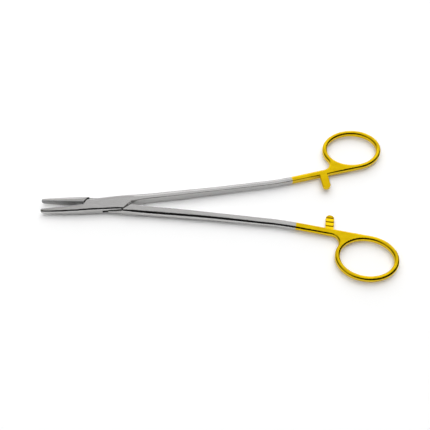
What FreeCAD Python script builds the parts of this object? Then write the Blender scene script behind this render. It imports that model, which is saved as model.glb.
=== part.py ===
# Surgical needle holder with a box lock, gold-plated finger rings and brazed jaw inserts.
#
# Millimetres. X runs from the jaws (minus) to the finger rings (plus), Z is up, and the pivot's axis
# is the Z axis. The underside of the box lock lies on Z = 0.
# Everything is drawn with the jaws closed on the plane Y = 0. Each half is then turned open about the
# pivot by its Placement, as the instrument lies at rest.

import FreeCAD
import Part
import Sketcher
import math
import os

Vector = FreeCAD.Vector

# Driving sizes, one row of the sheet each: name and value.
SIZES = (
    # Pose at rest: each half is turned this far (degrees) from closed.
    ("rest_half_angle", 4.1),
    # Box lock
    ("box_thickness", 6.0),
    ("grinding_stock", 0.1),
    ("wall_thickness", 2.0),
    ("box_front", 12.1),
    ("box_back", 14.7),
    ("front_angle", 56.0),
    ("back_angle", 41.0),
    ("inner_corner_radius", 1.2),
    ("cheek_end", 1.15),
    ("tongue_radius", 2.9),
    ("tongue_lead", 28.0),
    ("slot_clearance", 0.05),
    ("side_clearance", 0.1),
    ("shoulder_gap", 0.1),
    # Pivot pin
    ("pin_diameter", 3.0),
    ("pin_clearance", 0.04),
    # Jaws and inserts
    ("jaw_length", 36.5),
    ("nose_half_width", 2.0),
    ("nose_radius", 1.3),
    ("nose_half_thickness", 1.6),
    ("nose_edge_radius", 1.1),
    ("insert_thickness", 1.0),
    ("plain_length", 4.6),
    ("groove_pitch", 0.76),
    ("groove_width", 0.46),
    ("groove_angle", 45.0),
    # Handle: the straight end of the shank, the finger ring and the web between them
    ("handle_x", 112.0),
    ("handle_y", 8.42),
    ("handle_angle", 8.3),
    ("handle_thickness", 3.7),
    ("shank_width", 3.6),
    ("handle_edge_radius", 1.22),
    ("handle_inner_edge", 0.45),
    ("handle_outer_edge", 1.7),
    ("straight_run", 9.0),
    ("ring_reach", 36.15),
    ("ring_tilt", 1.4),
    ("ring_length", 32.05),
    ("ring_width", 24.65),
    ("ring_wire", 2.75),
    ("web_radius", 4.5),
    # Ratchet bars
    ("bar_tip_x", 127.05),
    ("bar_past_centre", 0.6),
    ("bar_width", 4.8),
    ("bar_lean", 4.0),
    ("bar_length", 11.5),
    ("bar_gap", 0.1),
    ("bar_edge_radius", 0.6),
    ("first_tooth", 1.5),
    ("tooth_pitch", 2.6),
    ("tooth_depth", 0.45),
    ("tooth_slope", 2.3),
)

BOX_STOCK = "Sizes.box_thickness + Sizes.grinding_stock"

# Stations of one arm along X: place, inner side and outer side as distances from the closing plane,
# thickness, and the radius of the inner and outer edges. The arm is one smooth forging through them.
# The first five lie in the jaw and the box lock, the rest in the shank.
STATIONS = (
    ("tip", "-Sizes.jaw_length", -0.2, 1.8, 3.15, 0.1, 1.4),
    ("jaw", -24.0, -0.2, 3.1, 4.65, 0.1, 1.8),
    ("neck", "-Sizes.box_front", -0.2, 3.75, BOX_STOCK, 0.1, 1.7),
    ("waist", -3.0, -0.2, 4.0, BOX_STOCK, 0.1, 1.5),
    ("lock", 10.0, -0.2, 4.55, BOX_STOCK, 0.1, 1.5),
    ("heel", "Sizes.box_back + 0.5", -0.2, 4.78, BOX_STOCK, 0.1, 2.0),
    ("root", 22.0, 0.62, 5.05, 5.75, 0.3, 2.5),
    ("fore", 38.0, 1.32, 5.55, 5.5, 0.3, 2.5),
    ("middle", 54.0, 2.2, 6.08, 5.2, 0.3, 2.4),
    ("aft", 69.0, 3.0, 6.7, 4.6, 0.3, 2.2),
    ("rear", 83.0, 3.75, 7.5, 4.05, 0.35, 1.95),
    ("bend", 95.0, 4.45, 8.13, 3.75, 0.4, 1.8),
)

# The arm's spans: each is lofted through its own stations, and neighbours share one.
SPANS = (
    ("jaw_span", ("tip", "jaw", "neck")),
    ("lock_span", ("neck", "waist", "lock", "heel")),
    ("shank_span", ("heel", "root", "fore", "middle", "aft", "rear", "bend")),
    ("bend_span", ("bend", "straight", "handle")),
)

# Past every part of the instrument, past the sides of the box lock, and just past what a tool cuts.
FAR = "170.0"
PAST = "12.0"
MARGIN = "1.0"

doc = FreeCAD.newDocument("needle_holder")
sheet = doc.addObject("Spreadsheet::Sheet", "Sizes")
rows = 0


def enter(name, number):
    """Write one size into the sheet and give its cell the alias that expressions use."""
    global rows
    rows += 1
    sheet.set("A%d" % rows, name)
    sheet.set("B%d" % rows, str(number))
    sheet.setAlias("B%d" % rows, name)
    return "Sizes." + name


def value(expression):
    """The number that an expression on the sheet gives."""
    return float(sheet.evalExpression(expression))


def bind(thing, **expressions):
    """Tie properties of an object to expressions; two underscores stand for a dot."""
    for name, expression in expressions.items():
        thing.setExpression(name.replace("__", "."), expression)
    return thing


# Sketches

def arc_between(start, end, radius):
    """The short arc from start to end; a minus radius makes it hollow. Drawn anticlockwise."""
    across = end - start
    left = Vector(-across.y, across.x, 0).normalize()
    rise = math.sqrt(max(radius ** 2 - (across.Length / 2) ** 2, 0.0))
    centre = (start + end) * 0.5 + left * math.copysign(rise, radius)
    first, last = (start, end) if radius > 0 else (end, start)
    from_angle = math.atan2(first.y - centre.y, first.x - centre.x)
    to_angle = math.atan2(last.y - centre.y, last.x - centre.x)
    circle = Part.Circle(centre, Vector(0, 0, 1), abs(radius))
    return Part.ArcOfCircle(circle, from_angle, to_angle)


def pin_point(sketch, piece, end, label, corner):
    """Hold one corner of a sketch at a place that is given by two expressions."""
    for kind, expression in (("DistanceX", corner[0]), ("DistanceY", corner[1])):
        number = sketch.addConstraint(Sketcher.Constraint(kind, piece, end, value(expression)))
        sketch.renameConstraint(number, "%s_%s" % (kind, label))
        sketch.setExpression("Constraints.%s_%s" % (kind, label), expression)


def outline(name, corners):
    """A closed sketch, anticlockwise. A corner is (x, y) or, where an arc leads on to the next corner,
    (x, y, radius); each is an expression on the sheet."""
    sketch = doc.addObject("Sketcher::SketchObject", name)
    points = [Vector(value(corner[0]), value(corner[1]), 0) for corner in corners]
    ends = []
    for index, corner in enumerate(corners):
        start, end = points[index], points[(index + 1) % len(points)]
        if len(corner) == 2:
            sketch.addGeometry(Part.LineSegment(start, end))
            ends.append((1, 2))
            continue
        radius = value(corner[2])
        sketch.addGeometry(arc_between(start, end, radius))
        ends.append((1, 2) if radius > 0 else (2, 1))
        number = sketch.addConstraint(Sketcher.Constraint("Radius", index, abs(radius)))
        sketch.renameConstraint(number, "Radius_%d" % index)
        sketch.setExpression("Constraints.Radius_%d" % index, "abs(%s)" % corner[2])
    for index, corner in enumerate(corners):
        following = (index + 1) % len(corners)
        sketch.addConstraint(
            Sketcher.Constraint("Coincident", index, ends[index][1], following, ends[following][0]))
        pin_point(sketch, index, ends[index][0], str(index), corner)
    return sketch


# Lofts, prisms and booleans

STANDING = FreeCAD.Rotation(Vector(0, 1, 0), Vector(0, 0, 1), Vector(1, 0, 0))
UPRIGHT = FreeCAD.Rotation(Vector(1, 0, 0), Vector(0, 0, 1), Vector(0, -1, 0))


def section(name, inner, outer, thickness, inner_edge, outer_edge):
    """One cross-section of an arm: flat inside, round outside, level top and bottom."""
    half = "(%s) / 2" % thickness
    corners = (
        (inner, "-(%s - %s)" % (half, inner_edge), inner_edge),
        ("%s + %s" % (inner, inner_edge), "-(%s)" % half),
        ("%s - %s" % (outer, outer_edge), "-(%s)" % half, outer_edge),
        (outer, "-(%s - %s)" % (half, outer_edge)),
        (outer, "%s - %s" % (half, outer_edge), outer_edge),
        ("%s - %s" % (outer, outer_edge), half),
        ("%s + %s" % (inner, inner_edge), half, inner_edge),
        (inner, "%s - %s" % (half, inner_edge)),
    )
    return outline(name, corners)


def prism(name, base, direction, length, back="0.0"):
    """A sketch pushed out to a solid, forwards and back along a direction."""
    solid = doc.addObject("Part::Extrusion", name)
    solid.Base = base
    solid.DirMode = "Custom"
    solid.Dir = direction
    solid.Solid = True
    return bind(solid, LengthFwd=length, LengthRev=back)


def plan_prism(name, corners, bottom="-" + MARGIN, height="Sizes.box_thickness + 2 * " + MARGIN):
    """A prism that stands on a plan outline."""
    base = outline(name + "_plan", corners)
    bind(base, Placement__Base__z=bottom)
    return prism(name, base, Vector(0, 0, 1), height)


def cut(name, base, tool):
    """Base less tool."""
    result = doc.addObject("Part::Cut", name)
    result.Base = base
    result.Tool = tool
    result.Refine = False
    return result


def common(name, base, tool):
    """What base and tool share."""
    result = doc.addObject("Part::Common", name)
    result.Base = base
    result.Tool = tool
    result.Refine = False
    return result


def fuse(name, *pieces):
    """All pieces as one."""
    result = doc.addObject("Part::MultiFuse", name)
    result.Shapes = list(pieces)
    result.Refine = False
    return result


def mirror(name, source, normal, height="0.0"):
    """The mirror image of a piece, in a plane through the pivot or at a height."""
    image = doc.addObject("Part::Mirroring", name)
    image.Source = source
    image.Normal = normal
    return bind(image, Base__z=height)


def block(name, low, high):
    """A box between two corners that are given as expressions."""
    solid = doc.addObject("Part::Box", name)
    for side, axis, start, end in zip(("Length", "Width", "Height"), "xyz", low, high):
        solid.setExpression(side, "%s - (%s)" % (end, start))
        solid.setExpression("Placement.Base." + axis, start)
    return solid


def jaw_block(name, back, side):
    """A box round the jaws, from the depth of an insert to one side, that ends at a place behind."""
    return block(
        name,
        ("-Sizes.jaw_length - " + MARGIN, "-Sizes.insert_thickness", "-" + MARGIN),
        (back, side, "Sizes.box_thickness + " + MARGIN))


def feature(name, shape):
    """A shape that is worked out below, as an object of the document."""
    result = doc.addObject("Part::Feature", name)
    result.Shape = shape
    return result


# The sheet, the middle plane and other shared expressions

STATION_COLUMNS = ("x", "inner", "outer", "thickness", "inner_edge", "outer_edge")
for size_name, size in SIZES:
    enter(size_name, size)
for station in STATIONS:
    for column, size in zip(STATION_COLUMNS, station[1:]):
        if isinstance(size, float):
            enter("%s_%s" % (station[0], column), size)
doc.recompute()

MIDDLE = "Sizes.box_thickness / 2"
SLOT_RADIUS = "(Sizes.tongue_radius + Sizes.side_clearance)"


# The arm: one side of the closed pair, from the jaw's nose to the finger ring

def station_section(station):
    """The sketch of one station, standing across the arm at its place on X."""
    name = station[0]
    place, inner, outer, thickness, inner_edge, outer_edge = (
        "Sizes.%s_%s" % (name, column) if isinstance(size, float) else size
        for column, size in zip(STATION_COLUMNS, station[1:]))
    sketch = section("arm_at_" + name, inner, outer, thickness, inner_edge, outer_edge)
    sketch.Placement = FreeCAD.Placement(Vector(), STANDING)
    return bind(sketch, Placement__Base__x=place, Placement__Base__z=MIDDLE)


def handle_section(name, setback):
    """The handle's own section, across its straight run and set back from its start."""
    half_width = "Sizes.shank_width / 2"
    sketch = section(name, "-(%s)" % half_width, half_width, "Sizes.handle_thickness",
                     "Sizes.handle_inner_edge", "Sizes.handle_outer_edge")
    turned = FreeCAD.Rotation(Vector(0, 0, 1), value("Sizes.handle_angle")).multiply(STANDING)
    sketch.Placement = FreeCAD.Placement(Vector(), turned)
    return bind(
        sketch,
        Placement__Base__x="Sizes.handle_x - %s * cos(Sizes.handle_angle)" % setback,
        Placement__Base__y="Sizes.handle_y - %s * sin(Sizes.handle_angle)" % setback,
        Placement__Base__z=MIDDLE,
    )


def ellipse_normal(long_half, short_half, turn):
    """A point of an upright ellipse about the origin, and the outward direction there."""
    point = Vector(long_half * math.cos(turn), short_half * math.sin(turn), 0)
    outward = Vector(point.x / long_half ** 2, point.y / short_half ** 2, 0).normalize()
    return point, outward


def make_handle():
    """The straight handle, the web and the finger ring. The inner side of the handle runs on as a
    tangent of the ring, and a hollow arc leads from its outer side into the ring."""
    width = value("Sizes.shank_width")
    thickness = value("Sizes.handle_thickness")
    rounding = value("Sizes.handle_edge_radius")
    long_half = (value("Sizes.ring_length") + value("Sizes.ring_wire")) / 2
    short_half = (value("Sizes.ring_width") + value("Sizes.ring_wire")) / 2
    wire = value("Sizes.ring_wire")
    web_radius = value("Sizes.web_radius")
    # The frame of this shape is the ring's own: its centre, with its long axis along X.
    slant = math.radians(value("Sizes.handle_angle") - value("Sizes.ring_tilt"))
    along = Vector(math.cos(slant), math.sin(slant), 0)
    across = Vector(-along.y, along.x, 0)
    drop = math.hypot(long_half * along.y, short_half * along.x)
    inner_start = across * -drop - along * value("Sizes.ring_reach")
    outer_start = inner_start + across * width
    touch = Vector(long_half ** 2 * along.y, -short_half ** 2 * along.x, 0) * (1 / drop)
    touch_turn = math.atan2(touch.y / short_half, touch.x / long_half)
    # The hollow arc's middle lies web_radius outside both the ring and the handle's outer side.
    wanted = width + web_radius - drop
    low, high = -math.pi, -math.pi / 2
    for _ in range(60):
        turn = (low + high) / 2
        point, outward = ellipse_normal(long_half, short_half, turn)
        if (point + outward * web_radius).dot(across) > wanted:
            low = turn
        else:
            high = turn
    hollow_middle = point + outward * web_radius
    hollow_end = hollow_middle - across * web_radius
    hollow_half_way = hollow_middle - (outward + across).normalize() * web_radius
    ring = Part.Ellipse(Vector(), long_half, short_half)
    edges = [
        Part.LineSegment(outer_start, inner_start).toShape(),
        Part.LineSegment(inner_start, touch).toShape(),
        Part.ArcOfEllipse(ring, touch_turn, turn + 2 * math.pi).toShape(),
        Part.Arc(point, hollow_half_way, hollow_end).toShape(),
        Part.LineSegment(hollow_end, outer_start).toShape(),
    ]
    face = Part.Face(Part.Wire(Part.sortEdges(edges)[0]))
    hole = Part.Ellipse(Vector(), long_half - wire, short_half - wire).toShape()
    plate = face.extrude(Vector(0, 0, thickness))
    plate = plate.cut(Part.Face(Part.Wire(hole)).extrude(Vector(0, 0, thickness)))
    # At the shank the inner edges are crisper and the outer ones rounder than round the ring.
    rims = []
    for number, edge in enumerate(plate.Edges, 1):
        if level(edge) and not in_line(edge, inner_start, along):
            radii = [rounding, rounding]
            for start, size in ((inner_start, "Sizes.handle_inner_edge"), (outer_start, "Sizes.handle_outer_edge")):
                if in_line(edge, start, across):
                    radii[0] = value(size)
                    if (edge.Vertexes[0].Point - start).dot(along) > wire:
                        radii.reverse()
            rims.append((number, *radii))
    # Place the shape so that its straight run starts at the handle's named point.
    start = (inner_start + outer_start) * 0.5
    turn_back = FreeCAD.Rotation(Vector(0, 0, 1), value("Sizes.ring_tilt"))
    corner = Vector(value("Sizes.handle_x"), value("Sizes.handle_y"), value(MIDDLE) - thickness / 2)
    plate.Placement = FreeCAD.Placement(corner - turn_back.multVec(start), turn_back)
    handle = doc.addObject("Part::Fillet", "handle")
    handle.Base = feature("handle_blank", plate)
    handle.Edges = rims
    return handle


def level(edge):
    """Whether an edge lies in a top or bottom face."""
    return edge.BoundBox.ZLength < 0.001


def in_line(edge, point, normal):
    """Whether both ends of an edge lie in the plane through a point."""
    return all(abs((vertex.Point - point).dot(normal)) < 0.001 for vertex in edge.Vertexes)


def make_arm():
    """The arm as one forging: a loft for the jaw, the box lock, the shank and the bend, and the handle."""
    at = {station[0]: station_section(station) for station in STATIONS}
    at["straight"] = handle_section("arm_in_handle", "Sizes.straight_run")
    at["handle"] = handle_section("arm_at_handle", "0.0")
    lofts = []
    for name, stops in SPANS:
        loft = doc.addObject("Part::Loft", name)
        loft.Sections = [at[stop] for stop in stops]
        loft.Solid = True
        loft.Ruled = False
        lofts.append(loft)
    return fuse("arm", *lofts, make_handle())


# The closed pair, as one block that is divided below

def make_pair(arm):
    """Both arms face to face, each with its nose rounded and its flats ground: the top and underside
    of the box lock, and the closing plane."""
    nose = "-Sizes.jaw_length"
    side = "Sizes.nose_half_width"
    radius = "Sizes.nose_radius"
    rounded = plan_prism("nose_rounding", (
        (nose, "-" + MARGIN),
        (FAR, "-" + MARGIN),
        (FAR, FAR),
        ("%s + %s" % (nose, radius), FAR),
        ("%s + %s" % (nose, radius), side, radius),
        (nose, "%s - %s" % (side, radius)),
    ))
    half = "Sizes.nose_half_thickness"
    radius = "Sizes.nose_edge_radius"
    profile = outline("ground_profile", (
        (nose, "%s + %s - %s" % (MIDDLE, half, radius)),
        (nose, "%s - %s + %s" % (MIDDLE, half, radius), radius),
        ("%s + %s" % (nose, radius), "%s - %s" % (MIDDLE, half)),
        ("%s + %s" % (nose, radius), "0.0"),
        (FAR, "0.0"),
        (FAR, "Sizes.box_thickness"),
        ("%s + %s" % (nose, radius), "Sizes.box_thickness"),
        ("%s + %s" % (nose, radius), "%s + %s" % (MIDDLE, half), radius),
    ))
    profile.Placement = FreeCAD.Placement(Vector(), UPRIGHT)
    ground = prism("ground_faces", profile, Vector(0, 1, 0), FAR)
    ground_arm = common("ground_arm", common("rounded_arm", arm, rounded), ground)
    return fuse("pair", ground_arm, mirror("other_arm", ground_arm, Vector(0, 1, 0)))


def front_region(name, gap):
    """In front of the box walls, on the upper jaw's side of the closing plane."""
    corner = "(-Sizes.box_front - %s / sin(Sizes.front_angle))" % gap
    return plan_prism(name, (
        (corner, "0.0"),
        ("%s + %s" % (corner, PAST), "%s * tan(Sizes.front_angle)" % PAST),
        ("-" + FAR, "%s * tan(Sizes.front_angle)" % PAST),
        ("-" + FAR, "0.0"),
    ))


def back_region(name, gap):
    """Behind the box walls, on the lower shank's side of the closing plane."""
    angle = "Sizes.back_angle"
    corner = "(Sizes.box_back + %s / sin(%s) - %s / tan(%s))" % (gap, angle, gap, angle)
    radius = "(Sizes.inner_corner_radius - %s)" % gap
    reach = "(%s * tan(%s / 2))" % (radius, angle)
    return plan_prism(name, (
        ("%s - %s" % (corner, FAR), "-(%s) - %s * tan(%s)" % (gap, FAR, angle)),
        (FAR, "-(%s) - %s * tan(%s)" % (gap, FAR, angle)),
        (FAR, "-(%s)" % gap),
        ("%s + %s" % (corner, reach), "-(%s)" % gap, radius),
        ("%s - %s * cos(%s)" % (corner, reach, angle), "-(%s) - %s * sin(%s)" % (gap, reach, angle)),
    ))


def make_slot():
    """The slot through the box. Its two cheeks are tangents of the circle that the tongue turns in,
    and each cheek ends on a line from the pivot."""
    front = "asin(%s / Sizes.box_front)" % SLOT_RADIUS
    back = "asin(%s / Sizes.box_back)" % SLOT_RADIUS
    front_end = "((Sizes.box_front - Sizes.cheek_end) * tan(%s))" % front
    back_end = "((Sizes.box_back - Sizes.cheek_end) * tan(%s))" % back
    return plan_prism("slot", (
        ("-Sizes.box_front", "0.0"),
        ("-Sizes.cheek_end", "-" + front_end),
        ("-4 * Sizes.cheek_end", "-4 * " + front_end),
        ("-4 * Sizes.cheek_end", "-" + FAR),
        (FAR, "-" + FAR),
        (FAR, "0.0"),
        ("Sizes.box_back", "0.0"),
        ("Sizes.cheek_end", back_end),
        ("4 * Sizes.cheek_end", "4 * " + back_end),
        ("4 * Sizes.cheek_end", FAR),
        ("-" + FAR, FAR),
        ("-" + FAR, "0.0"),
    ), "Sizes.wall_thickness", "Sizes.box_thickness - 2 * Sizes.wall_thickness")


def make_tongue(pair):
    """The thin part of the through half: a waist round the pin that widens to the box's sides. The
    edges that lead as the jaws open lie on a line through the pivot."""
    radius = "Sizes.tongue_radius"
    lead_x, lead_y = "sin(Sizes.tongue_lead)", "cos(Sizes.tongue_lead)"
    front_sine = "(%s / Sizes.box_front)" % SLOT_RADIUS
    back_sine = "(%s / Sizes.box_back)" % SLOT_RADIUS
    front_x = "-%s / %s" % (radius, front_sine)
    back_x = "%s / %s" % (radius, back_sine)
    shape = plan_prism("tongue_block", (
        (front_x, "0.0"),
        ("-%s * %s" % (radius, front_sine), "-%s * cos(asin(%s))" % (radius, front_sine), radius),
        ("%s * %s" % (radius, lead_x), "-%s * %s" % (radius, lead_y)),
        ("%s * %s" % (PAST, lead_x), "-%s * %s" % (PAST, lead_y)),
        (back_x, "-%s * %s" % (PAST, lead_y)),
        (back_x, "0.0"),
        ("%s * %s" % (radius, back_sine), "%s * cos(asin(%s))" % (radius, back_sine), radius),
        ("-%s * %s" % (radius, lead_x), "%s * %s" % (radius, lead_y)),
        ("-%s * %s" % (PAST, lead_x), "%s * %s" % (PAST, lead_y)),
        (front_x, "%s * %s" % (PAST, lead_y)),
    ), "Sizes.wall_thickness + Sizes.slot_clearance",
        "Sizes.box_thickness - 2 * (Sizes.wall_thickness + Sizes.slot_clearance)")
    return common("tongue", pair, shape)


# Ratchet bars

def make_upper_bar():
    """The bar of the box half. It points at the other shank, and its teeth are on its underside."""
    radius = "Sizes.bar_width / 2"
    level_of_teeth = "%s + Sizes.bar_gap / 2" % MIDDLE
    plate_plan = outline("bar_plan", (
        ("0.0", "0.0", radius),
        (radius, "-(%s)" % radius),
        ("Sizes.bar_length", "-(%s)" % radius),
        ("Sizes.bar_length", radius),
        (radius, radius, radius),
    ))
    to_base = FreeCAD.Rotation(Vector(0, 0, 1), 90 + value("Sizes.bar_lean"))
    plate_plan.Placement = FreeCAD.Placement(Vector(), to_base)
    tip = {
        "Placement__Base__x": "Sizes.bar_tip_x",
        "Placement__Base__y": "-Sizes.bar_past_centre",
        "Placement__Base__z": level_of_teeth,
    }
    bind(plate_plan, **tip)
    bar_height = "(Sizes.handle_thickness - Sizes.bar_gap) / 2"
    plate = prism("bar_plate", plate_plan, Vector(0, 0, 1), bar_height)
    rounding = "Sizes.bar_edge_radius"
    bar_side = "%s - %s" % (radius, rounding)
    bar_top = "%s - %s" % (bar_height, rounding)
    bar_section = outline("bar_section", (
        (bar_side, "0.0", rounding),
        (radius, rounding),
        (radius, bar_top, rounding),
        (bar_side, bar_height),
        ("-(%s)" % bar_side, bar_height, rounding),
        ("-(%s)" % radius, bar_top),
        ("-(%s)" % radius, rounding, rounding),
        ("-(%s)" % bar_side, "0.0"),
    ))
    bar_section.Placement = FreeCAD.Placement(Vector(), to_base.multiply(STANDING))
    bind(bar_section, **tip)
    along = to_base.multVec(Vector(1, 0, 0))
    rounded_bar = prism("rounded_bar", bar_section, along, "Sizes.bar_length + " + MARGIN, MARGIN)
    plate = common("rounded_plate", plate, rounded_bar)
    teeth = []
    for count in range(3):
        catch = "Sizes.first_tooth + %d * Sizes.tooth_pitch" % count
        tooth = outline("tooth_%d_profile" % (count + 1), (
            (catch, "0.0"),
            ("%s + Sizes.tooth_slope" % catch, "0.0"),
            (catch, "Sizes.tooth_depth"),
        ))
        tooth.Placement = FreeCAD.Placement(Vector(), to_base.multiply(UPRIGHT))
        bind(tooth, **tip)
        side = to_base.multVec(Vector(0, 1, 0))
        teeth.append(prism("tooth_%d" % (count + 1), tooth, side, "Sizes.bar_width", "Sizes.bar_width"))
    return cut("upper_bar", plate, fuse("teeth", *teeth))


# Jaw inserts

def groove_set(angle):
    """Parallel V grooves across the serrated end of an insert's face, all at one angle."""
    pitch = value("Sizes.groove_pitch")
    half_width = value("Sizes.groove_width") / 2
    length = value("Sizes.box_thickness") * 2
    first_x = -value("Sizes.jaw_length")
    last_x = -value("Sizes.box_front") - value("Sizes.plain_length")
    step = pitch / math.sin(math.radians(value("Sizes.groove_angle")))
    reach = value(MIDDLE) / math.tan(math.radians(value("Sizes.groove_angle")))
    slant = FreeCAD.Rotation(Vector(0, -1, 0), angle)
    grooves = []
    x = first_x - reach
    while x < last_x + reach:
        corners = [
            Vector(-length / 2, 0, -half_width),
            Vector(-length / 2, 0, half_width),
            Vector(-length / 2, -half_width, 0),
        ]
        triangle = Part.Face(Part.makePolygon(corners + corners[:1]))
        groove = triangle.extrude(Vector(length, 0, 0))
        groove.Placement = FreeCAD.Placement(Vector(x, 0, value(MIDDLE)), slant)
        grooves.append(groove)
        x += step
    return Part.makeCompound(grooves)


def make_insert(name, pair):
    """The lower insert: a plate of the pair's own outline, seated against a step in the jaw."""
    back = "-Sizes.box_front"
    plate = common(name + "_plate", pair, jaw_block(name + "_stock", back, "0.0"))
    serrated = jaw_block("serrated_end", back + " - Sizes.plain_length", "0.0")
    rising = common("rising_grooves", serrated, feature(
        "rising_set", groove_set(value("Sizes.groove_angle"))))
    falling = common("falling_grooves", serrated, feature(
        "falling_set", groove_set(-value("Sizes.groove_angle"))))
    return cut(name, cut(name + "_half_cut", plate, rising), falling)


# The two halves

def pin_bore(name, diameter):
    """A bore on the pivot's axis."""
    bore = doc.addObject("Part::Cylinder", name)
    return bind(bore, Radius="(%s) / 2" % diameter, Height="Sizes.box_thickness")


def make_box_half(pair, seat, bar):
    """The female half: lower jaw, box with its slot, upper shank, bar and ring."""
    outer = cut("box_forging", pair, fuse(
        "other_half_space", front_region("front_of_box", "0.0"), back_region("back_of_box", "0.0")))
    slotted = cut("slotted_forging", outer, make_slot())
    seated = cut("seated_forging", slotted, seat)
    bored = cut("bored_forging", seated, pin_bore("wall_bore", "Sizes.pin_diameter"))
    return fuse("box_half", bored, bar)


def make_through_half(pair, seat, bar):
    """The male half: upper jaw, tongue, lower shank, bar and ring."""
    blocks = common("through_forging", pair, fuse(
        "through_space",
        front_region("front_shoulder", "Sizes.shoulder_gap"),
        back_region("back_shoulder", "Sizes.shoulder_gap")))
    whole = fuse("tongued_forging", blocks, make_tongue(pair))
    seated = cut("seated_through", whole, seat)
    bore = pin_bore("tongue_bore", "Sizes.pin_diameter + 2 * Sizes.pin_clearance")
    bored = cut("bored_through", seated, bore)
    return fuse("through_half", bored, bar)


pair = make_pair(make_arm())
seat = jaw_block("insert_seats", "-Sizes.box_front", "Sizes.insert_thickness")
upper_bar = make_upper_bar()
swapped_bar = mirror("swapped_bar", upper_bar, Vector(0, 1, 0))
lower_bar = mirror("lower_bar", swapped_bar, Vector(0, 0, 1), MIDDLE)
lower_insert = make_insert("lower_jaw_insert", pair)
parts = {
    "box_half": make_box_half(pair, seat, upper_bar),
    "through_half": make_through_half(pair, seat, lower_bar),
    "pivot_pin": pin_bore("pivot_pin", "Sizes.pin_diameter"),
    "lower_jaw_insert": lower_insert,
    "upper_jaw_insert": mirror("upper_jaw_insert", lower_insert, Vector(0, 1, 0)),
}
for name, part in parts.items():
    part.Label = name
# The upper insert is the mirror image of the lower one as that lies open, so it isn't turned again.
for name, side in (("box_half", 1), ("pivot_pin", 1), ("lower_jaw_insert", 1), ("through_half", -1)):
    bind(parts[name], Placement__Rotation__Angle="%d * Sizes.rest_half_angle" % side)

doc.recompute()

for item in doc.Objects:
    if "Invalid" in item.State or "Error" in item.State:
        raise RuntimeError("%s failed: %s" % (item.Name, item.State))

os.makedirs("parts", exist_ok=True)
for name, part in parts.items():
    if part.Shape.isNull() or not part.Shape.isValid():
        raise RuntimeError(name + " has no sound shape")
    part.Shape.exportStep("parts/%s.step" % name)
    box = part.Shape.BoundBox
    print("%-18s solids %d  volume %.1f  box %s" % (name, len(part.Shape.Solids), part.Shape.Volume, box))
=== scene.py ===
"""Looks of a surgical needle holder: satin steel, gold-plated handles, brazed carbide inserts."""

import math

import bpy
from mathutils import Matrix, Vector

bl_info = {
    "name": "Surgical Needle Holder",
    "version": (1, 0, 0),
    "blender": (4, 5, 0),
    "location": "View3D > Sidebar > Needle Holder",
    "description": "Finishes the forgings, rivet and inserts and lays the holder on a studio table",
    "category": "Object",
}

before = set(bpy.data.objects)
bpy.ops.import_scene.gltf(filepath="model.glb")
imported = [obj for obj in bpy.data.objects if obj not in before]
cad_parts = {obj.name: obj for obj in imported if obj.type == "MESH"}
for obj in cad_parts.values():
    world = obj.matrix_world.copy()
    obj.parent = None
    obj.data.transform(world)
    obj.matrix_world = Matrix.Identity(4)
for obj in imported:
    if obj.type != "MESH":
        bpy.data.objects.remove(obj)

MM = 0.001

# Each half lies turned this far from closed.
REST_TURN = math.radians(4.1)
# Directions of the shanks as they lie: the straight gold-plated run, and the mean of the satin one.
HANDLE_TURN = math.radians(12.4)
SATIN_TURN = math.radians(8.5)
# Where a jaw ends and the box lock begins, along the jaw.
JAW_END = -12.1 * MM
# Round the pivot the top is ground flush with the rivet, and the soft edges set in over a border.
FLUSH_RADIUS = 6.6 * MM
FLUSH_BORDER = 0.3 * MM
# The masking tape of the plating bath leaves a line this sharp.
TAPE_LINE = 0.1 * MM
# Painted shade in the gaps: its dark colour, and how open to the sky a fully shaded gap and an
# unshaded face are.
CREVICE_SHADE = "#1D1B19"
GAP_OPENNESS = 0.15
FACE_OPENNESS = 0.5

TABLE_SIZE = 8.0
# The table lies this much below the instrument, so that no two faces share a plane.
TABLE_DROP = 0.02 * MM

SOFTBOX_PLACE = Vector((-0.20, 0.85, 0.50))
SOFTBOX_AIM = Vector((0.06, 0, 0))
SOFTBOX_WIDTH = 2.2
SOFTBOX_HEIGHT = 0.7

# How the sky's brightness changes with direction, a vector of length 1 whose X points to the right
# and Z up: its gain to the right, what is left at the far left, the steepness of the unlit side and
# the soft border over it, and the share that the table gets from low down and from overhead.
RIGHT_GAIN = 0.5
LEFT_EDGE_X = (-0.8, -0.55)
LEFT_EDGE_SHARE = 0.1
UNLIT_SLOPE = math.tan(math.radians(71))
UNLIT_BORDER = (0.18, 0.27)
BAFFLE_Z = (0.4, 1.0)
BAFFLE_SHARES = (0.25, 3.1)

CAMERA_AIM = Vector((61.98 * MM, -7.35 * MM, 3.0 * MM))
CAMERA_ELEVATION = math.radians(60)
CAMERA_HEADING = math.radians(0.884)
CAMERA_DISTANCE = 373.2 * MM
CAMERA_LENS = 55.54

# Places of a Mix node's sockets, whose names it has several times over.
FIRST_VALUE, SECOND_VALUE = 2, 3
FIRST_COLOUR, SECOND_COLOUR, MIXED_COLOUR = 6, 7, 2


def linear(hex_colour):
    """An sRGB hex colour as linear red, green and blue."""
    parts = [int(hex_colour[i:i + 2], 16) / 255 for i in (1, 3, 5)]
    return tuple(
        part / 12.92 if part <= 0.04045 else ((part + 0.055) / 1.055) ** 2.4 for part in parts)


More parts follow.
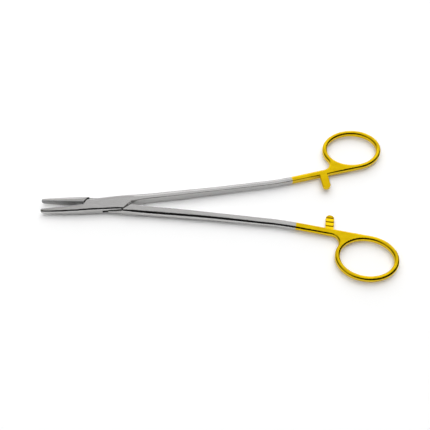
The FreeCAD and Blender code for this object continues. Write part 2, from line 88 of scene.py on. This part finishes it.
class NeedleHolderFinish(bpy.types.PropertyGroup):
    """Colours of the metals and sizes of their marks."""

    steel: bpy.props.FloatVectorProperty(
        name="Satin steel", description="Colour of the satin stainless steel",
        subtype="COLOR", size=3, min=0, max=1, default=linear("#C0BFBE"))
    steel_shade: bpy.props.FloatVectorProperty(
        name="Steel in the lines", description="Darker grey in the satin lines of the steel",
        subtype="COLOR", size=3, min=0, max=1, default=linear("#B0AFAE"))
    gold: bpy.props.FloatVectorProperty(
        name="Gold plating", description="Colour of the polished gold plating",
        subtype="COLOR", size=3, min=0, max=1, default=linear("#E2C010"))
    gold_shade: bpy.props.FloatVectorProperty(
        name="Gold, worn", description="Browner gold where the plating is thin",
        subtype="COLOR", size=3, min=0, max=1, default=linear("#D4AF0A"))
    carbide: bpy.props.FloatVectorProperty(
        name="Carbide", description="Colour of the ground tungsten carbide",
        subtype="COLOR", size=3, min=0, max=1, default=linear("#B2B2B2"))
    carbide_shade: bpy.props.FloatVectorProperty(
        name="Carbide in the marks", description="Darker grey in the wheel marks of the carbide",
        subtype="COLOR", size=3, min=0, max=1, default=linear("#9A9A9A"))
    braze: bpy.props.FloatVectorProperty(
        name="Braze", description="Colour of the silver braze round the inserts",
        subtype="COLOR", size=3, min=0, max=1, default=linear("#BDB8AA"))
    plating_start: bpy.props.FloatProperty(
        name="Plating start", description="Distance along the shank from the pivot to the gold",
        unit="LENGTH", min=0.08, max=0.14, default=107.6 * MM)
    insert_depth: bpy.props.FloatProperty(
        name="Insert thickness", description="Depth of an insert behind its gripping face",
        unit="LENGTH", min=0.0005, max=0.002, default=1.0 * MM)
    seam_width: bpy.props.FloatProperty(
        name="Seam width", description="Width of the braze that shows along an insert",
        unit="LENGTH", min=0, max=0.0005, default=0.12 * MM)
    edge_softness: bpy.props.FloatProperty(
        name="Edge softness", description="Radius to which tumbling has rounded the edges",
        unit="LENGTH", min=0, max=0.001, default=0.11 * MM)
    insert_softness: bpy.props.FloatProperty(
        name="Insert edge softness", description="Radius of the ground edges of the inserts",
        unit="LENGTH", min=0, max=0.001, default=0.06 * MM)


class NeedleHolderStage(bpy.types.PropertyGroup):
    """The table and the light."""

    table: bpy.props.FloatVectorProperty(
        name="Table", description="Colour of the matt white table",
        subtype="COLOR", size=3, min=0, max=1, default=linear("#FAFAFA"))
    table_glow: bpy.props.FloatProperty(
        name="Table glow", description="White that the table adds where it is seen or mirrored",
        min=0, max=1, default=0.10)
    softbox_power: bpy.props.FloatProperty(
        name="Softbox", description="Power of the softbox low behind the instrument",
        unit="POWER", min=0, max=50, default=2.5)
    sky: bpy.props.FloatProperty(
        name="Studio ceiling", description="Brightness of the white studio overhead",
        min=0, max=2, default=1.15)
    unlit: bpy.props.FloatProperty(
        name="Unlit side", description="Brightness of the unlit room on the camera's side",
        min=0, max=1, default=0.02)
    unlit_turn: bpy.props.FloatProperty(
        name="Turn of the unlit side",
        description="Turn of the darkest direction from the camera to the right",
        unit="ROTATION", min=-3.2, max=3.2, default=math.radians(40))


# Materials

def add_node(tree, kind, inputs=None, **settings):
    """Add a node with its settings. An input is a value, or the socket it is linked from."""
    made = tree.nodes.new(kind)
    for name, setting in settings.items():
        setattr(made, name, setting)
    for name, given in (inputs or {}).items():
        if isinstance(given, bpy.types.NodeSocket):
            tree.links.new(given, made.inputs[name])
        else:
            made.inputs[name].default_value = given
    return made


def new_material(name):
    """An empty node material; returns it with its tree."""
    material = bpy.data.materials.new(name)
    material.use_nodes = True
    material.node_tree.nodes.clear()
    return material, material.node_tree


def shank_coordinates(tree, turn):
    """Object coordinates turned along a shank. Y counts without its sign, so both shanks share
    them."""
    place = add_node(tree, "ShaderNodeSeparateXYZ", {
        "Vector": add_node(tree, "ShaderNodeTexCoord").outputs["Object"]})
    side = add_node(tree, "ShaderNodeMath", {0: place.outputs["Y"]}, operation="ABSOLUTE")
    folded = add_node(tree, "ShaderNodeCombineXYZ", {
        "X": place.outputs["X"], "Y": side.outputs[0], "Z": place.outputs["Z"]})
    turned = add_node(tree, "ShaderNodeMapping", {
        "Vector": folded.outputs[0], "Rotation": (0, 0, -turn)})
    return turned.outputs[0]


def stretched_noise(tree, coordinates, length, spacing, detail=2.0):
    """Noise drawn out along X: marks of one length and spacing, in metres."""
    stretched = add_node(tree, "ShaderNodeMapping", {
        "Vector": coordinates, "Scale": (1 / length, 1 / spacing, 1 / spacing)})
    return add_node(tree, "ShaderNodeTexNoise", {
        "Vector": stretched.outputs[0], "Scale": 1.0, "Detail": detail}).outputs["Fac"]


def spread(tree, noise, low, high):
    """Noise, most of which lies between 0.3 and 0.7, spread over a range."""
    return add_node(tree, "ShaderNodeMapRange", {
        "Value": noise, "From Min": 0.3, "From Max": 0.7,
        "To Min": low, "To Max": high}).outputs[0]


def plated_share(tree, along, start):
    """0 on the steel and 1 on the gold plating, which begins at a distance along the shank."""
    distance = add_node(tree, "ShaderNodeSeparateXYZ", {"Vector": along}).outputs["X"]
    return add_node(tree, "ShaderNodeMapRange", {
        "Value": distance, "From Min": start - TAPE_LINE / 2,
        "From Max": start + TAPE_LINE / 2}).outputs[0]


def braze_share(tree, depth, width):
    """1 on the film of silver braze that shows along the inserts. In a jaw's own coordinates it
    lies at the insert's depth from the closing plane, in front of the box lock."""
    jaw = add_node(tree, "ShaderNodeSeparateXYZ", {"Vector": shank_coordinates(tree, -REST_TURN)})
    on_film = add_node(tree, "ShaderNodeMath", {
        0: jaw.outputs["Y"], 1: depth + width / 2, 2: width / 2}, operation="COMPARE")
    in_front = add_node(tree, "ShaderNodeMath", {
        0: jaw.outputs["X"], 1: JAW_END}, operation="LESS_THAN")
    return add_node(tree, "ShaderNodeMath", {
        0: on_film.outputs[0], 1: in_front.outputs[0]}, operation="MULTIPLY").outputs[0]


def edge_radius(tree, along, softness):
    """The softness of the edges, and none near the rivet, whose bore has no edge that shows."""
    from_pivot = add_node(tree, "ShaderNodeVectorMath", {0: along}, operation="LENGTH")
    return add_node(tree, "ShaderNodeMapRange", {
        "Value": from_pivot.outputs["Value"], "From Min": FLUSH_RADIUS,
        "From Max": FLUSH_RADIUS + FLUSH_BORDER, "To Min": 0.0, "To Max": softness}).outputs[0]


def painted_crevice_shade(tree, colour, reach):
    """The colour, with painted shade that darkens gaps narrower than the reach."""
    openness = add_node(tree, "ShaderNodeAmbientOcclusion", {"Distance": reach}, samples=8)
    unshaded_share = add_node(tree, "ShaderNodeMapRange", {
        "Value": openness.outputs["AO"], "From Min": GAP_OPENNESS, "From Max": FACE_OPENNESS})
    return add_node(tree, "ShaderNodeMix", {
        "Factor": unshaded_share.outputs[0], FIRST_COLOUR: (*linear(CREVICE_SHADE), 1),
        SECOND_COLOUR: colour}, data_type="RGBA").outputs[MIXED_COLOUR]


def finish_material(tree, colour, roughness, softness, bumps):
    """The metal's shader: edges softened by a small radius, and each bump on top of the last. A
    bump is its height, its depth and its strength."""
    normal = add_node(tree, "ShaderNodeBevel", {"Radius": softness}, samples=6).outputs[0]
    for height, depth, strength in bumps:
        normal = add_node(tree, "ShaderNodeBump", {
            "Height": height, "Distance": depth, "Strength": strength,
            "Normal": normal}).outputs[0]
    shader = add_node(tree, "ShaderNodeBsdfPrincipled", {
        "Metallic": 1.0, "Base Color": colour, "Roughness": roughness, "Normal": normal})
    add_node(tree, "ShaderNodeOutputMaterial", {"Surface": shader.outputs[0]})


def plated_forging_material(finish):
    """Drop-forged stainless steel, glass-bead blasted and satin brushed along the shanks, with the
    handles polished and gold plated, and silver braze round the inserts. The brushing gives a soft
    sheen that runs along the arms, and the plating a clean mirror, slightly waved by hand
    polishing."""
    material, tree = new_material("satin_steel_gold_plated")
    along = shank_coordinates(tree, HANDLE_TURN)
    plated = plated_share(tree, along, finish.plating_start)

    # Satin lines are 0.05 mm apart on the real one, drawn 0.25 mm apart here so that they show.
    # Handling and blasting leave clouds of a few millimetres.
    satin = shank_coordinates(tree, SATIN_TURN)
    lines = stretched_noise(tree, satin, 9 * MM, 0.25 * MM)
    clouds = stretched_noise(tree, satin, 7 * MM, 4 * MM, detail=3.0)

    steel = add_node(tree, "ShaderNodeMix", {
        "Factor": spread(tree, lines, 0.0, 1.0), FIRST_COLOUR: (*finish.steel_shade, 1),
        SECOND_COLOUR: (*finish.steel, 1)}, data_type="RGBA").outputs[MIXED_COLOUR]
    gold = add_node(tree, "ShaderNodeMix", {
        "Factor": spread(tree, clouds, 0.0, 1.0), FIRST_COLOUR: (*finish.gold_shade, 1),
        SECOND_COLOUR: (*finish.gold, 1)}, data_type="RGBA").outputs[MIXED_COLOUR]
    colour = add_node(tree, "ShaderNodeMix", {
        "Factor": plated, FIRST_COLOUR: steel, SECOND_COLOUR: gold},
        data_type="RGBA").outputs[MIXED_COLOUR]
    colour = add_node(tree, "ShaderNodeMix", {
        "Factor": braze_share(tree, finish.insert_depth, finish.seam_width),
        FIRST_COLOUR: colour, SECOND_COLOUR: (*finish.braze, 1)},
        data_type="RGBA").outputs[MIXED_COLOUR]
    # Painted shade darkens the colour in gaps narrower than 1.2 mm, such as those of the box lock.
    colour = painted_crevice_shade(tree, colour, 1.2 * MM)

    # The satin steel is a little rougher than the polished plating.
    grain = add_node(tree, "ShaderNodeMath", {
        0: spread(tree, lines, 0.09, 0.14), 1: spread(tree, clouds, -0.01, 0.01)},
        operation="ADD").outputs[0]
    polish = spread(tree, clouds, 0.05, 0.09)
    roughness = add_node(tree, "ShaderNodeMix", {
        "Factor": plated, FIRST_VALUE: grain, SECOND_VALUE: polish},
        data_type="FLOAT").outputs[0]

    # Polishing takes the satin lines off before the plating.
    brushed = add_node(tree, "ShaderNodeMath", {0: 1.0, 1: plated}, operation="SUBTRACT")
    line_height = add_node(tree, "ShaderNodeMath", {
        0: lines, 1: brushed.outputs[0]}, operation="MULTIPLY").outputs[0]
    softness = edge_radius(tree, along, finish.edge_softness)
    finish_material(tree, colour, roughness, softness, (
        (line_height, 0.01 * MM, 0.35), (clouds, 0.05 * MM, 0.30)))
    return material


def carbide_material(finish):
    """Sintered tungsten carbide, cut with serrations and ground. It gives a darker and duller grey
    than the steel, with fine marks of the grinding wheel along the jaw."""
    material, tree = new_material("ground_tungsten_carbide")
    coordinates = add_node(tree, "ShaderNodeTexCoord").outputs["Object"]
    # Wheel marks are 0.03 mm apart on the real one and its grain is a few hundredths wide. They
    # are drawn 0.12 and 0.15 mm wide here so that they show.
    marks = stretched_noise(tree, coordinates, 3 * MM, 0.12 * MM)
    grain = add_node(tree, "ShaderNodeTexNoise", {
        "Vector": coordinates, "Scale": 1 / (0.15 * MM), "Detail": 1.0}).outputs["Fac"]
    colour = add_node(tree, "ShaderNodeMix", {
        "Factor": spread(tree, marks, 0.0, 1.0), FIRST_COLOUR: (*finish.carbide_shade, 1),
        SECOND_COLOUR: (*finish.carbide, 1)}, data_type="RGBA").outputs[MIXED_COLOUR]
    # Painted shade darkens the colour in gaps narrower than 0.4 mm.
    colour = painted_crevice_shade(tree, colour, 0.4 * MM)
    finish_material(tree, colour, spread(tree, grain, 0.24, 0.34), finish.insert_softness, (
        (marks, 0.01 * MM, 0.4), (grain, 0.005 * MM, 0.3)))
    return material


def white_card_material(stage):
    """Matt white card, a ground with no gloss that shows soft shadows. It shines by itself where
    it is seen or mirrored, so that it is white there without more light on the instrument, and
    still takes its shadow."""
    material, tree = new_material("matt_white_card")
    path = add_node(tree, "ShaderNodeLightPath")
    seen = add_node(tree, "ShaderNodeMath", {
        0: path.outputs["Is Camera Ray"], 1: path.outputs["Is Glossy Ray"]},
        operation="MAXIMUM")
    seen = add_node(tree, "ShaderNodeMath", {
        0: seen.outputs[0], 1: path.outputs["Is Transmission Ray"]}, operation="MAXIMUM")
    strength = add_node(tree, "ShaderNodeMath", {
        0: seen.outputs[0], 1: stage.table_glow}, operation="MULTIPLY")
    card = add_node(tree, "ShaderNodeBsdfDiffuse", {"Color": (*stage.table, 1)})
    glow = add_node(tree, "ShaderNodeEmission", {"Strength": strength.outputs[0]})
    both = add_node(tree, "ShaderNodeAddShader", {0: card.outputs[0], 1: glow.outputs[0]})
    add_node(tree, "ShaderNodeOutputMaterial", {"Surface": both.outputs[0]})
    return material


def give(thing, material):
    """Show a material all over an object."""
    thing.data.materials.clear()
    thing.data.materials.append(material)


def deselect_all():
    """Leave nothing selected."""
    if bpy.context.object and bpy.context.object.mode != "OBJECT":
        bpy.ops.object.mode_set(mode="OBJECT")
    bpy.ops.object.select_all(action="DESELECT")


class NEEDLE_HOLDER_OT_finish_forgings(bpy.types.Operator):
    """Give both halves, and the rivet ground flush with them, their satin steel and gold plating"""

    bl_idname = "needle_holder.finish_forgings"
    bl_label = "Finish Forgings"

    def execute(self, context):
        material = plated_forging_material(context.scene.needle_holder_finish)
        for name in ("box_half", "through_half", "pivot_pin"):
            give(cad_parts[name], material)
        return {"FINISHED"}


class NEEDLE_HOLDER_OT_finish_inserts(bpy.types.Operator):
    """Give both jaw inserts their ground carbide"""

    bl_idname = "needle_holder.finish_inserts"
    bl_label = "Finish Inserts"

    def execute(self, context):
        material = carbide_material(context.scene.needle_holder_finish)
        for name in ("lower_jaw_insert", "upper_jaw_insert"):
            give(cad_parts[name], material)
        return {"FINISHED"}


class NEEDLE_HOLDER_OT_add_stage(bpy.types.Operator):
    """Set the white table, the soft light and the camera"""

    bl_idname = "needle_holder.add_stage"
    bl_label = "Add Table, Light and Camera"

    def execute(self, context):
        stage = context.scene.needle_holder_stage
        self.add_table(stage)
        self.add_light(stage)
        self.add_sky(context, stage)
        self.add_camera(context)
        context.scene.view_settings.view_transform = "Standard"
        return {"FINISHED"}

    def add_table(self, stage):
        deselect_all()
        bpy.ops.mesh.primitive_plane_add(size=TABLE_SIZE, location=(0, 0, -TABLE_DROP))
        table = bpy.context.object
        table.name = "table"
        give(table, white_card_material(stage))

    def add_light(self, stage):
        deselect_all()
        bpy.ops.object.light_add(type="AREA", location=SOFTBOX_PLACE)
        softbox = bpy.context.object
        softbox.name = "softbox"
        towards = SOFTBOX_AIM - SOFTBOX_PLACE
        softbox.rotation_euler = towards.to_track_quat("-Z", "Y").to_euler()
        softbox.data.shape = "RECTANGLE"
        softbox.data.size = SOFTBOX_WIDTH
        softbox.data.size_y = SOFTBOX_HEIGHT
        softbox.data.energy = stage.softbox_power

    def add_sky(self, context, stage):
        world = bpy.data.worlds.new("white_studio")
        world.use_nodes = True
        tree = world.node_tree
        tree.nodes.clear()
        direction = add_node(tree, "ShaderNodeTexCoord").outputs["Generated"]
        parts = add_node(tree, "ShaderNodeSeparateXYZ", {"Vector": direction})

        # The studio is white overhead and behind. It is lighter to the right and dim at the far
        # left, which gives the gold rings their darker left edges.
        ceiling = add_node(tree, "ShaderNodeMath", {
            0: parts.outputs["X"], 1: RIGHT_GAIN, 2: stage.sky}, operation="MULTIPLY_ADD")
        left_edge = add_node(tree, "ShaderNodeMapRange", {
            "Value": parts.outputs["X"], "From Min": LEFT_EDGE_X[0], "From Max": LEFT_EDGE_X[1],
            "To Min": LEFT_EDGE_SHARE}, interpolation_type="SMOOTHSTEP")
        ceiling = add_node(tree, "ShaderNodeMath", {
            0: ceiling.outputs[0], 1: left_edge.outputs[0]}, operation="MULTIPLY")

        # The room is lit above a sloping plane. Below it, in front and to the right, it is unlit,
        # which gives the rounded edges on that side their dark lines.
        across = (
            -UNLIT_SLOPE * math.sin(stage.unlit_turn),
            UNLIT_SLOPE * math.cos(stage.unlit_turn), 1.0)
        above_slope = add_node(tree, "ShaderNodeVectorMath", {
            0: direction, 1: across}, operation="DOT_PRODUCT")
        strength = add_node(tree, "ShaderNodeMapRange", {
            "Value": above_slope.outputs["Value"], "From Min": UNLIT_BORDER[0],
            "From Max": UNLIT_BORDER[1], "To Min": stage.unlit, "To Max": ceiling.outputs[0]},
            interpolation_type="SMOOTHSTEP")

        # Baffles over the table let it take its light from above, which keeps the shadows short.
        baffles = add_node(tree, "ShaderNodeMapRange", {
            "Value": parts.outputs["Z"], "From Min": BAFFLE_Z[0], "From Max": BAFFLE_Z[1],
            "To Min": BAFFLE_SHARES[0], "To Max": BAFFLE_SHARES[1]})
        path = add_node(tree, "ShaderNodeLightPath")
        share = add_node(tree, "ShaderNodeMix", {
            "Factor": path.outputs["Is Diffuse Ray"], FIRST_VALUE: 1.0,
            SECOND_VALUE: baffles.outputs[0]}, data_type="FLOAT")
        strength = add_node(tree, "ShaderNodeMath", {
            0: strength.outputs[0], 1: share.outputs[0]}, operation="MULTIPLY")
        light = add_node(tree, "ShaderNodeBackground", {"Strength": strength.outputs[0]})
        add_node(tree, "ShaderNodeOutputWorld", {"Surface": light.outputs[0]})
        context.scene.world = world

    def add_camera(self, context):
        deselect_all()
        forward = Vector((
            math.cos(CAMERA_ELEVATION) * math.sin(CAMERA_HEADING),
            math.cos(CAMERA_ELEVATION) * math.cos(CAMERA_HEADING),
            -math.sin(CAMERA_ELEVATION)))
        bpy.ops.object.camera_add(location=CAMERA_AIM - forward * CAMERA_DISTANCE)
        camera = bpy.context.object
        camera.name = "camera"
        camera.rotation_euler = forward.to_track_quat("-Z", "Y").to_euler()
        camera.data.lens = CAMERA_LENS
        camera.data.clip_start = 0.01
        context.scene.camera = camera


class NEEDLE_HOLDER_PT_sidebar(bpy.types.Panel):
    """The needle holder's finishes and stage in the sidebar"""

    bl_idname = "NEEDLE_HOLDER_PT_sidebar"
    bl_label = "Needle Holder"
    bl_space_type = "VIEW_3D"
    bl_region_type = "UI"
    bl_category = "Needle Holder"

    def draw(self, context):
        for group in (context.scene.needle_holder_finish, context.scene.needle_holder_stage):
            for name in group.bl_rna.properties.keys():
                if name not in ("rna_type", "name"):
                    self.layout.prop(group, name)
        for operator in OPERATORS:
            self.layout.operator(operator.bl_idname)


GROUPS = (NeedleHolderFinish, NeedleHolderStage)
OPERATORS = (
    NEEDLE_HOLDER_OT_finish_forgings,
    NEEDLE_HOLDER_OT_finish_inserts,
    NEEDLE_HOLDER_OT_add_stage,
)
CLASSES = (*GROUPS, *OPERATORS, NEEDLE_HOLDER_PT_sidebar)


def register():
    """Register the classes and keep their settings on the scene."""
    for entry in CLASSES:
        bpy.utils.register_class(entry)
    bpy.types.Scene.needle_holder_finish = bpy.props.PointerProperty(type=NeedleHolderFinish)
    bpy.types.Scene.needle_holder_stage = bpy.props.PointerProperty(type=NeedleHolderStage)


def unregister():
    """Take the settings and the classes away again."""
    del bpy.types.Scene.needle_holder_stage
    del bpy.types.Scene.needle_holder_finish
    for entry in reversed(CLASSES):
        bpy.utils.unregister_class(entry)


def main():
    """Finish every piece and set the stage."""
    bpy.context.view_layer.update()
    register()
    bpy.ops.needle_holder.finish_forgings()
    bpy.ops.needle_holder.finish_inserts()
    bpy.ops.needle_holder.add_stage()


if __name__ == "__main__":
    main()
